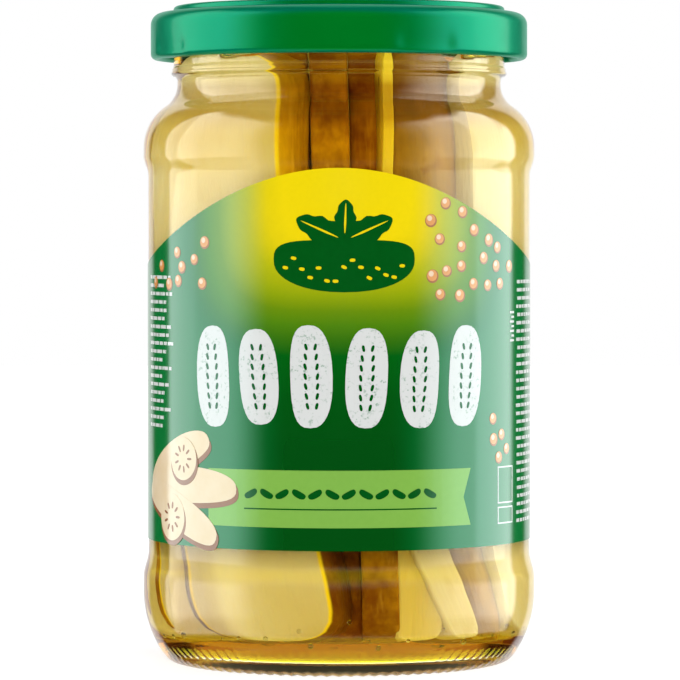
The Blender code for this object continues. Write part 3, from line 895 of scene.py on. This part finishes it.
label_bm = bmesh.new()
strip_spot = label_bm.verts.layers.float_vector.new("strip")
bmesh.ops.create_grid(label_bm, x_segments=300, y_segments=24, size=0.5)
front = bmesh.ops.extrude_face_region(label_bm, geom=label_bm.faces[:])
raised = [element for element in front["geom"] if isinstance(element, bmesh.types.BMVert)]
bmesh.ops.translate(label_bm, verts=raised, vec=(0, 0, 1))
face_outwards(label_bm)
for vert in label_bm.verts:
    along = STRIP_LOW + (vert.co.x + 0.5) * (STRIP_HIGH - STRIP_LOW)
    height = LABEL_BOTTOM + (vert.co.y + 0.5) * (label_top(along) - LABEL_BOTTOM)
    vert[strip_spot] = (along * MM, 0, height * MM)
    inner_lift = -GLUE_DEPTH if along < 104 else -LAP_DEPTH
    vert.co = wrapped(along, height, 0.0 if vert.co.z > 0.5 else inner_lift)

# %% [markdown]
# The print on the field is a glow: yellow at the crest of the arch, then lime, then deep green. Its
# sides are a lighter green, a painted sheen where the panels' reflections begin. The coated face is
# smooth enough to show the panels as broad soft bands.

# %% Printed field
def coated(name):
    """A print finish: the cool gloss of coated paper over the ink."""
    tint = (0.66, 1.0, 1.0, 1)
    material, tree, shader = new_material(
        name, Roughness=0.13, IOR=1.52, Specular_IOR_Level=0.75, Specular_Tint=tint
    )
    spot = node(tree, "TexCoord").outputs["Object"]
    bumped(tree, shader, noise_of(tree, spot, 1400.0, 2.0), 0.04, 0.05 * MM)
    return material, tree, shader, spot


GLOW_MIDDLE = (1.5, 89.0)
GLOW_WIDER = 1.05
GLOW_REACH = 52.0
GLOW_STOPS = [
    (0.0, (0.69, 0.53, 0.001)),
    (11.0, (0.69, 0.53, 0.001)),
    (14.0, (0.60, 0.48, 0.002)),
    (17.5, (0.36, 0.37, 0.002)),
    (21.0, (0.22, 0.29, 0.001)),
    (23.5, (0.11, 0.21, 0.001)),
    (26.0, (0.06, 0.175, 0.002)),
    (28.5, (0.03, 0.13, 0.002)),
    (31.5, (0.0, 0.086, 0.003)),
    (39.0, (0.0, 0.066, 0.003)),
    (48.0, (0.0, 0.056, 0.003)),
]

field, tree, shader, spot = coated("label_field")
strip_parts = node(tree, "SeparateXYZ", {0: attribute_of(tree, "strip", "Vector")})
over = math_node(tree, "SUBTRACT", strip_parts.outputs["X"], GLOW_MIDDLE[0] * MM)
over = math_node(tree, "POWER", math_node(tree, "DIVIDE", over, GLOW_REACH * GLOW_WIDER * MM), 4.0)
below = math_node(tree, "SUBTRACT", GLOW_MIDDLE[1] * MM, strip_parts.outputs["Z"])
below = math_node(tree, "POWER", math_node(tree, "DIVIDE", below, GLOW_REACH * MM), 4.0)
far = math_node(tree, "POWER", math_node(tree, "ADD", over, below), 0.25)
ramp = node(tree, "ValToRGB", {"Fac": far})
stops = ramp.color_ramp.elements
while len(stops) < len(GLOW_STOPS):
    stops.new(0.5)
for stop, (reach, colour) in zip(stops, GLOW_STOPS):
    stop.position = reach / GLOW_REACH
    stop.color = (*colour, 1)
# Painted sheen: the field turns a lighter green at its sides, where the panels' reflections begin.
painted_sheen_share = smooth_step(tree, math_node(tree, "ABSOLUTE", strip_parts.outputs["X"]), 9 * MM, 20 * MM)
painted_sheen_share = product(tree, painted_sheen_share, smooth_step(tree, far, 0.50, 0.66))
field_with_painted_sheen = mixed(tree, painted_sheen_share, ramp.outputs["Color"], (0.0, 0.125, 0.022, 1))
dots = noise_of(tree, spot, 1200.0, 2.0)
ink = mixed(tree, product(tree, dots, 0.07), field_with_painted_sheen, (0.0, 0.05, 0.004, 1))
shade(tree, shader, Base_Color=ink)

label = piece(label_bm, "label_strip", field, sharp=50)
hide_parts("label")

# %% [markdown]
# ## What is printed on the label
#
# The motifs are thin shapes, made flat and then wrapped like the strip. So that a flat shape follows
# the curve, it is first cut into narrow strips with bisect planes. Shapes that overlap lie on their own
# levels, hundredths of a millimetre apart. The motifs are plain and generic.

# %% Printing helpers
CUT_STEP = 1.6
PRINT_DEPTH = 0.06
def blob(bm, shape, segments=32):
    """A flat face made from a circle, each of whose points is placed by its turn."""
    made = bmesh.ops.create_circle(bm, cap_ends=True, segments=segments, radius=1.0)
    for vert in made["verts"]:
        x, y = shape(math.atan2(vert.co.y, vert.co.x))
        vert.co = (x, y, 0)


def bar(bm, left, right, bottom, top):
    """A flat rectangle."""
    made = bmesh.ops.create_grid(bm, x_segments=1, y_segments=1, size=0.5)
    for vert in made["verts"]:
        vert.co = (right if vert.co.x > 0 else left, top if vert.co.y > 0 else bottom, 0)


def tilted(middle, right, up, tilt):
    """The place right of and above a middle, turned about it by a tilt in degrees."""
    angle = math.radians(tilt)
    x = middle[0] + right * math.cos(angle) - up * math.sin(angle)
    return x, middle[1] + right * math.sin(angle) + up * math.cos(angle)


def blunt(value, power):
    """A sine or cosine pushed out towards 1, which squares a circle off."""
    return math.copysign(abs(value) ** power, value)


def slice_shape(middle, half_width, half_length, tilt, bend=0.0, grow=0.0):
    """The outline of a gherkin slice: a long blunt oval, bent a little, at a tilt in degrees."""

    def place(turned_by):
        across = (half_width + grow) * blunt(math.cos(turned_by), 0.75)
        along = (half_length + grow) * blunt(math.sin(turned_by), 0.8)
        return tilted(middle, across + bend * (along / half_length) ** 2, along, tilt)

    return place


def round_shape(middle, radius):
    """The outline of a round spot."""
    return lambda turned_by: tilted(middle, radius * math.cos(turned_by), radius * math.sin(turned_by), 0)


def printed(bm, name, material, lift):
    """Give flat faces a little thickness, cut them into narrow strips and wrap them on the label."""
    bmesh.ops.triangulate(bm, faces=bm.faces[:])
    low = min(v.co.x for v in bm.verts)
    high = max(v.co.x for v in bm.verts)
    cut = math.floor(low / CUT_STEP) * CUT_STEP + CUT_STEP
    while cut < high:
        whole = bm.verts[:] + bm.edges[:] + bm.faces[:]
        bmesh.ops.bisect_plane(bm, geom=whole, plane_co=(cut, 0, 0), plane_no=(1, 0, 0))
        cut += CUT_STEP
    raised = bmesh.ops.extrude_face_region(bm, geom=bm.faces[:])
    for element in raised["geom"]:
        if isinstance(element, bmesh.types.BMVert):
            element.co.z += 1.0
    face_outwards(bm)
    for vert in bm.verts:
        along, height, up = vert.co
        vert.co = wrapped(along, height, lift if up > 0.5 else -PRINT_DEPTH)
    return piece(bm, name, material, sharp=30)


def inked(name, low, high, scale=900.0):
    """A printed colour that varies slightly between two tones."""
    material, tree, shader, spot = coated(name)
    shade(tree, shader, Base_Color=mixed(tree, noise_of(tree, spot, scale), (*low, 1), (*high, 1)))
    return material


leaf_ink = inked("ink_leaf", (0.0, 0.060, 0.004), (0.0, 0.075, 0.006))
lime_ink = inked("ink_lime", (0.155, 0.335, 0.048), (0.175, 0.36, 0.056))
yellow_ink = inked("ink_yellow", (0.62, 0.48, 0.001), (0.64, 0.50, 0.002))
seed_ink = inked("ink_seed", (0.50, 0.20, 0.05), (0.60, 0.28, 0.09), 700.0)
seed_edge_ink = inked("ink_seed_edge", (0.24, 0.085, 0.03), (0.32, 0.12, 0.045), 700.0)
glint_ink = inked("ink_glint", (0.60, 0.44, 0.29), (0.66, 0.50, 0.36))
flesh_ink = inked("ink_flesh", (0.57, 0.43, 0.25), (0.63, 0.53, 0.38), 260.0)
brown_ink = inked("ink_brown", (0.19, 0.065, 0.028), (0.25, 0.10, 0.045))

# %% [markdown]
# The cream ink of the big motifs is worn, like a stamped print: fine specks of the green show through.

# %% Worn cream ink
cream_ink, tree, shader, spot = coated("ink_cream")
wear = smooth_step(tree, noise_of(tree, spot, 1500.0, 3.0, 0.7), 0.54, 0.66, 0.0, 0.75)
patchy = smooth_step(tree, noise_of(tree, spot, 260.0, 2.0), 0.38, 0.6)
worn = product(tree, wear, patchy)
shade(tree, shader, Base_Color=mixed(tree, worn, (0.53, 0.54, 0.53, 1), (0.16, 0.27, 0.19, 1)))
# %% [markdown]
# Six worn ovals stand in a row across the middle of the label. Seven pairs of seed pips run up each.

# %% The row of slices in the middle
ROW_START, ROW_PITCH, ROW_MIDDLE = -24.6, 9.85, 53.6
PIP_PITCH = 1.75

row_bm, pips_bm = bmesh.new(), bmesh.new()
random.seed(5)
for number in range(6):
    middle = (ROW_START + ROW_PITCH * number, ROW_MIDDLE + random.uniform(-0.3, 0.3))
    tilt = random.uniform(-5, 5)
    half_length = random.uniform(8.5, 9.2)
    blob(row_bm, slice_shape(middle, 3.8, half_length, tilt, random.uniform(-0.5, 0.5)))
    for step in range(-3, 4):
        for side in (-1, 1):
            spread = 0.75 + 0.35 * math.cos(step * 0.45)
            x = middle[0] + side * spread - step * PIP_PITCH * math.sin(math.radians(tilt))
            pip = (x, middle[1] + step * PIP_PITCH)
            blob(pips_bm, slice_shape(pip, 0.28, 0.62, tilt - side * 14), 12)
printed(row_bm, "print_row", cream_ink, 0.03)
printed(pips_bm, "print_pips", leaf_ink, 0.045)

# %% [markdown]
# The emblem is a whole gherkin lying under three leaves. Its warts and the ribs are in yellow.

# %% Emblem
GHERKIN_MIDDLE = (1.0, 73.4)
LEAF_ROOT = (1.0, 78.0)
LEAVES = ((9.4, 2.7, 24), (9.4, 2.7, 156), (7.2, 2.3, 88))
RIB_START, RIB_WIDTH = 1.2, 0.22


def leaf_shape(root, length, width, tilt):
    """A pointed leaf with a wavy edge that grows from its root."""

    def place(turned_by):
        along = 0.5 - 0.5 * math.cos(turned_by)
        wave = 1 + 0.10 * math.cos(7 * math.pi * along)
        across = width * math.sin(turned_by) * (1 - 0.35 * along) * wave
        return tilted(root, along * length, across, tilt)

    return place


gherkin_bm, leaves_bm, lines_bm = bmesh.new(), bmesh.new(), bmesh.new()
blob(gherkin_bm, slice_shape(GHERKIN_MIDDLE, 4.6, 12.8, 90, 1.3), 48)
printed(gherkin_bm, "print_gherkin", leaf_ink, 0.03)
for length, width, tilt in LEAVES:
    blob(leaves_bm, leaf_shape(LEAF_ROOT, length, width, tilt), 48)
printed(leaves_bm, "print_leaves", leaf_ink, 0.04)
random.seed(11)
for number in range(15):
    x = GHERKIN_MIDDLE[0] - 10.6 + 1.5 * number
    y = GHERKIN_MIDDLE[1] - 1.1 + 1.6 * (x / 12.8) ** 2 + random.uniform(-1.9, 2.2)
    blob(lines_bm, slice_shape((x, y), 0.30, 0.52, 80 + random.uniform(-15, 15)), 12)
for length, width, tilt in LEAVES:
    rib_length = length - (2.0 if length > 8 else 1.8)
    blob(lines_bm, leaf_shape(tilted(LEAF_ROOT, RIB_START, 0, tilt), rib_length, RIB_WIDTH, tilt), 16)
printed(lines_bm, "print_emblem_lines", yellow_ink, 0.052)

# %% [markdown]
# A ribbon with a swallow-tailed end carries a thin rule and a row of tiny gherkins.

# %% Ribbon
RIBBON = (-25.5, 25.8, 27.0, 37.2)
TAIL_NOTCH = 1.7

ribbon_bm, ribbon_lines_bm = bmesh.new(), bmesh.new()
tail = bmesh.ops.create_grid(ribbon_bm, x_segments=24, y_segments=2, size=0.5)
left, right, bottom, top = RIBBON
for vert in tail["verts"]:
    along, up = vert.co.x + 0.5, vert.co.y + 0.5
    notch = TAIL_NOTCH * (1 - abs(2 * up - 1)) * smooth(along, 0.9, 1.0)
    vert.co = (left + (right - left) * along - notch, bottom + (top - bottom) * up, 0)
printed(ribbon_bm, "print_ribbon", lime_ink, 0.03)

bar(ribbon_lines_bm, -17.6, 18.2, 30.15, 30.4)
for number in range(12):
    tilt = 62 if number % 2 else 118
    blob(ribbon_lines_bm, slice_shape((-16.2 + 3.0 * number, 32.9), 0.62, 1.35, tilt, 0.12), 20)
printed(ribbon_lines_bm, "print_ribbon_lines", leaf_ink, 0.045)

# %% [markdown]
# Long slices and round chips overlap at the ribbon's left end, each pale shape on a larger brown one
# that reads as its cut side. The chips carry a ring of seeds.

# %% Slices and chips
HEAP_ROOT = Vector((-46.0, 33.5))
SLICE_TIPS = [((-25.8, 43.2), 3.1), ((-19.2, 34.4), 3.3), ((-23.4, 25.2), 3.2)]
CHIPS = [((-36.2, 27.9), 4.3), ((-32.4, 38.6), 3.9)]
CUT_SIDE = 0.2
HEAP_LIFT, HEAP_STEP = 0.05, 0.012

heap = []
for number, (tip, half_width) in enumerate(SLICE_TIPS):
    reach = Vector(tip) - HEAP_ROOT
    middle = (HEAP_ROOT + Vector(tip)) / 2
    size = (half_width, reach.length / 2, math.degrees(math.atan2(reach.y, reach.x)) - 90, 0.8)
    heap.append((f"slice_{number}_edge", slice_shape(middle + Vector((0.25, -0.75)), *size, CUT_SIDE)))
    heap.append((f"slice_{number}_flesh", slice_shape(middle, *size)))
for number, (middle, radius) in enumerate(CHIPS):
    low = (middle[0] + 0.2, middle[1] - 0.7)
    heap.append((f"chip_{number}_edge", round_shape(low, radius + CUT_SIDE)))
    heap.append((f"chip_{number}_flesh", round_shape(middle, radius)))
for level, (name, shape) in enumerate(heap):
    bm = bmesh.new()
    blob(bm, shape, 40)
    ink = brown_ink if name.endswith("edge") else flesh_ink
    printed(bm, "print_" + name, ink, HEAP_LIFT + HEAP_STEP * level)

chip_seeds_bm = bmesh.new()
for middle, radius in CHIPS:
    for number in range(9):
        turned_by = 360 * number / 9
        place = tilted(middle, 0.5 * radius, 0, turned_by)
        blob(chip_seeds_bm, slice_shape(place, 0.22, 0.62, turned_by - 90), 12)
printed(chip_seeds_bm, "print_chip_seeds", brown_ink, HEAP_LIFT + HEAP_STEP * len(heap) + 0.01)

# %% [markdown]
# Mustard seeds lie scattered over the shoulders of the arch, each a round spot on a darker edge with a
# pale glint. SEED_FIELDS holds each field's left, right, bottom and top and the number of its seeds.

# %% Mustard seeds
SEED_RADIUS = 1.12
SEED_FIELDS = [(-44, -25, 69.5, 78, 9), (16.5, 38, 66.5, 85, 19), (31, 37.5, 38, 47, 5)]

seed_edges_bm, seeds_bm, glints_bm = bmesh.new(), bmesh.new(), bmesh.new()
random.seed(23)
placed = []
for low, high, bottom, top, count in SEED_FIELDS:
    found, tries = 0, 0
    while found < count and tries < 900:
        tries += 1
        spot_at = (random.uniform(low, high), random.uniform(bottom, top))
        clear = all(math.dist(spot_at, other) > 2.35 * SEED_RADIUS for other in placed)
        if clear and spot_at[1] < label_top(spot_at[0]) - 1.3:
            placed.append(spot_at)
            found += 1
for x, y in placed:
    size = SEED_RADIUS * random.uniform(0.9, 1.1)
    blob(seed_edges_bm, round_shape((x, y), size), 20)
    blob(seeds_bm, round_shape((x - 0.08 * size, y + 0.12 * size), 0.84 * size), 18)
    blob(glints_bm, round_shape((x - 0.25 * size, y + 0.36 * size), 0.42 * size), 14)
printed(seed_edges_bm, "print_seed_edges", seed_edge_ink, 0.03)
printed(seeds_bm, "print_seeds", seed_ink, 0.045)
printed(glints_bm, "print_seed_glints", glint_ink, 0.06)
print("mustard seeds:", len(placed))

# %% [markdown]
# The small print at the label's sides is only hinted at, with rows of pale dashes and two empty frames.

# %% Side print
LINE_PITCH = 1.5
LINES_TOP = 71
DASH_HEIGHT, DASH_GAP = 0.62, 0.45
FRAME_LEFT, FRAME_RIGHT, FRAME_LINE = 33.4, 38.8, 0.25

bars_bm = bmesh.new()
random.seed(31)


def dashes(left, right, bottom):
    """One line of small print: dashes as long as words, with gaps between them."""
    while left < right - 0.8:
        end = min(left + random.uniform(0.9, 2.8), right)
        bar(bars_bm, left, end, bottom, bottom + DASH_HEIGHT)
        left = end + DASH_GAP


row_height = 43.9
while row_height < LINES_TOP:
    dashes(-47.5, -35.6 + random.uniform(-4.6, 0.6), row_height)
    row_height += LINE_PITCH
row_height = 26.6
while row_height < LINES_TOP:
    dashes(40.6 + random.uniform(-0.2, 0.5), 61.0, row_height)
    row_height += LINE_PITCH
for number in range(7):
    bar(bars_bm, 37.7 + 0.6 * (number % 2), 39.4, 59.6 + 0.85 * number, 60.0 + 0.85 * number)
for bottom, top in ((30.4, 37.1), (26.7, 29.8)):
    low, high = bottom + FRAME_LINE, top - FRAME_LINE
    bar(bars_bm, FRAME_LEFT, FRAME_RIGHT, bottom, low)
    bar(bars_bm, FRAME_LEFT, FRAME_RIGHT, high, top)
    bar(bars_bm, FRAME_LEFT, FRAME_LEFT + FRAME_LINE, low, high)
    bar(bars_bm, FRAME_RIGHT - FRAME_LINE, FRAME_RIGHT, low, high)
printed(bars_bm, "print_side_bars", cream_ink, 0.03)
